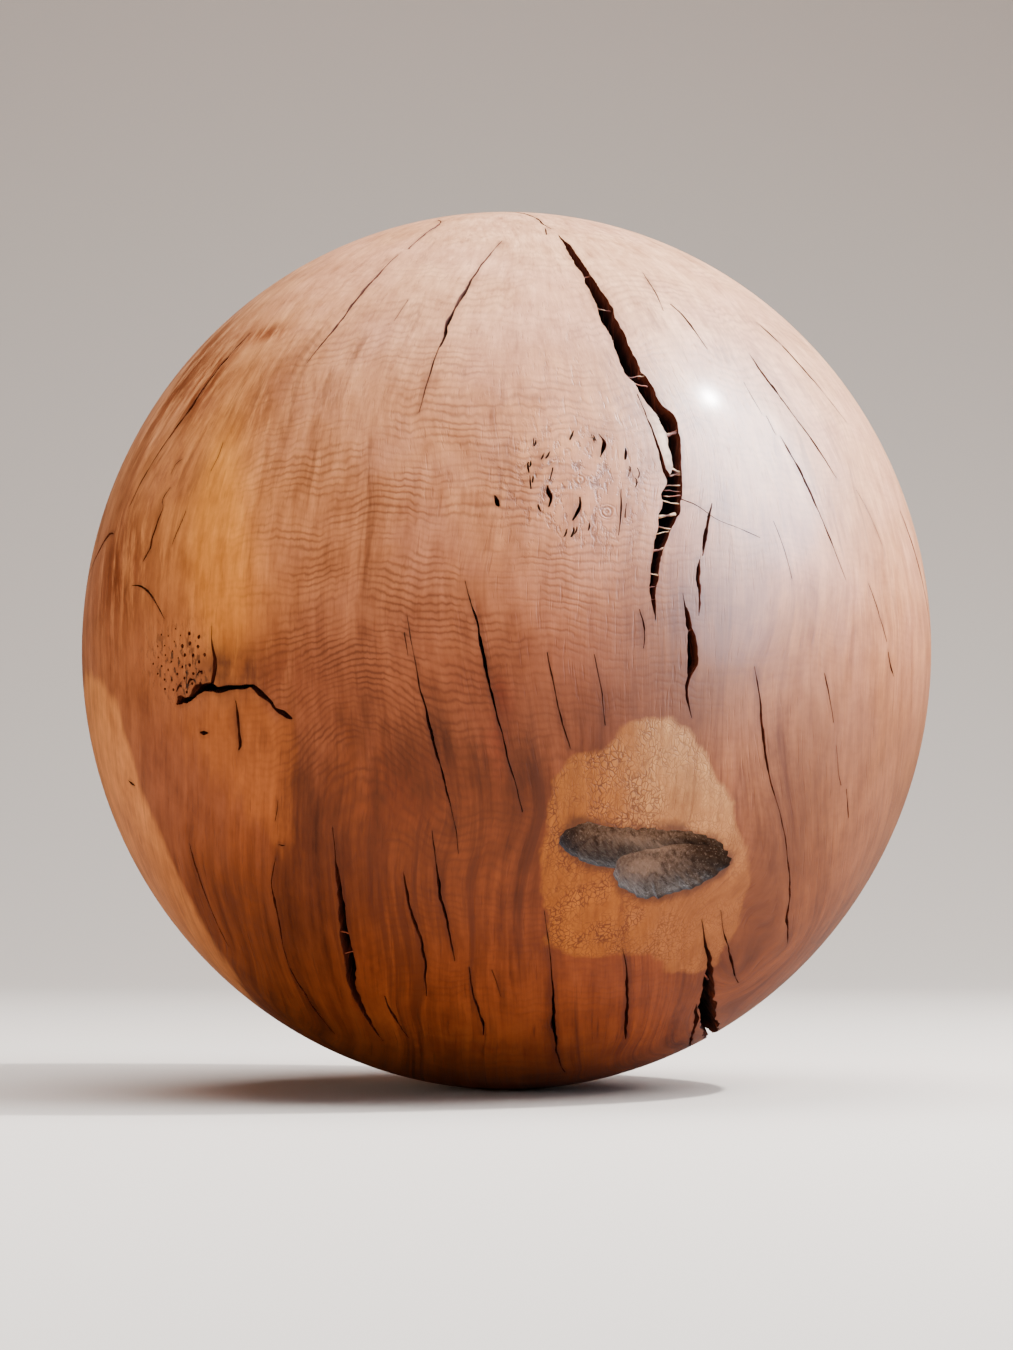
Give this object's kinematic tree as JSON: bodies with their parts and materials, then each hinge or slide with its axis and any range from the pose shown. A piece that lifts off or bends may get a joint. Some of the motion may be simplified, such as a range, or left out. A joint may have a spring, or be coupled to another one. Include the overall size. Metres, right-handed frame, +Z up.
{
  "type": "wooden ball",
  "caption": "Large turned ball of solid oak, split by drying, with a small weathered branch hollow low on its front.",
  "frame": {"origin": "middle of the ball", "axes": "+Z up along the grain, -Y towards the front with the branch hollow, +X to the right seen from the front"},
  "size_m": [0.42, 0.42, 0.434],
  "materials": {
    "oak": "oiled satin, lighter on the crown, redder below"
  },
  "bodies": {
    "root": {"ball": "oak"}
  },
  "joints": []
}
